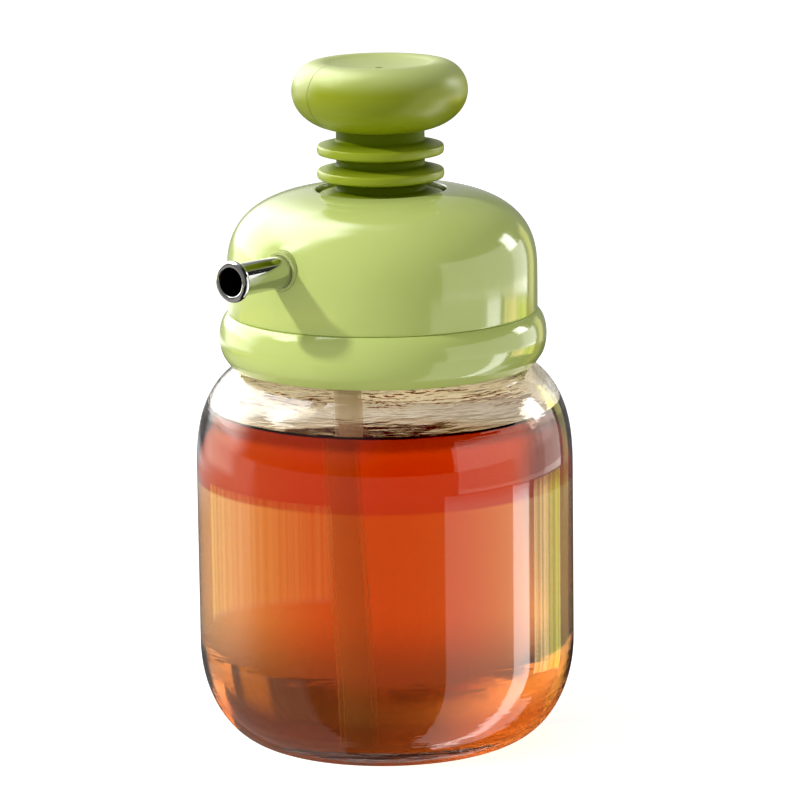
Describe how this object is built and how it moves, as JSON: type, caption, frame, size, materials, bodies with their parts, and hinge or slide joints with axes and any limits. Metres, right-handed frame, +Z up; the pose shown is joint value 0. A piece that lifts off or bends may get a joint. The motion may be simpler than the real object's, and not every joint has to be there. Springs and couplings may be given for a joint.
{
  "type": "oil dispenser",
  "caption": "Round glass oil jar with a green domed lid, a press button on an air bellows, a dip tube and a steel side spout.",
  "frame": {"origin": "middle of the flat base that the jar stands on", "axes": "+Z up along the jar's axis, the spout points along -Y"},
  "size_m": [0.082, 0.0903, 0.1491],
  "materials": {
    "glass": "clear, thick and polished",
    "oil": "clear amber oil",
    "gloss_green": "high gloss pale green moulding",
    "green_silicone": "soft matte moulded silicone",
    "moulded_white": "fine moulded satin",
    "clear_silicone": "milky soft silicone",
    "tube_plastic": "milky extruded tube",
    "black_rubber": "matte",
    "polished_steel": "polished stainless tube"
  },
  "bodies": {
    "jar": {"glass_jar": "glass", "oil_fill": "oil"},
    "lid": {"stopper": "moulded_white", "plug_seal": "clear_silicone", "collar": "gloss_green", "dome_cover": "gloss_green", "cover_ring": "moulded_white", "bellows_seat": "moulded_white", "column_o_ring": "black_rubber", "air_valve": "clear_silicone", "bellows": "green_silicone", "bellows_clamp": "moulded_white", "dip_tube": "tube_plastic", "outlet_elbow": "moulded_white", "spout_o_ring": "black_rubber", "spout": "polished_steel", "spout_grommet": "green_silicone"},
    "press_button": {"button": "green_silicone", "button_core": "moulded_white"}
  },
  "joints": [
    {"name": "lid_lift", "type": "slide", "parent": "jar", "child": "lid", "axis": [0, 0, 1], "range_m": [0, 0.1]},
    {"name": "button_press", "type": "slide", "parent": "lid", "child": "press_button", "axis": [0, 0, -1], "range_m": [0, 0.009], "stiffness_N_per_m": 400, "springref_m": -0.003, "deforming": ["bellows"]}
  ]
}
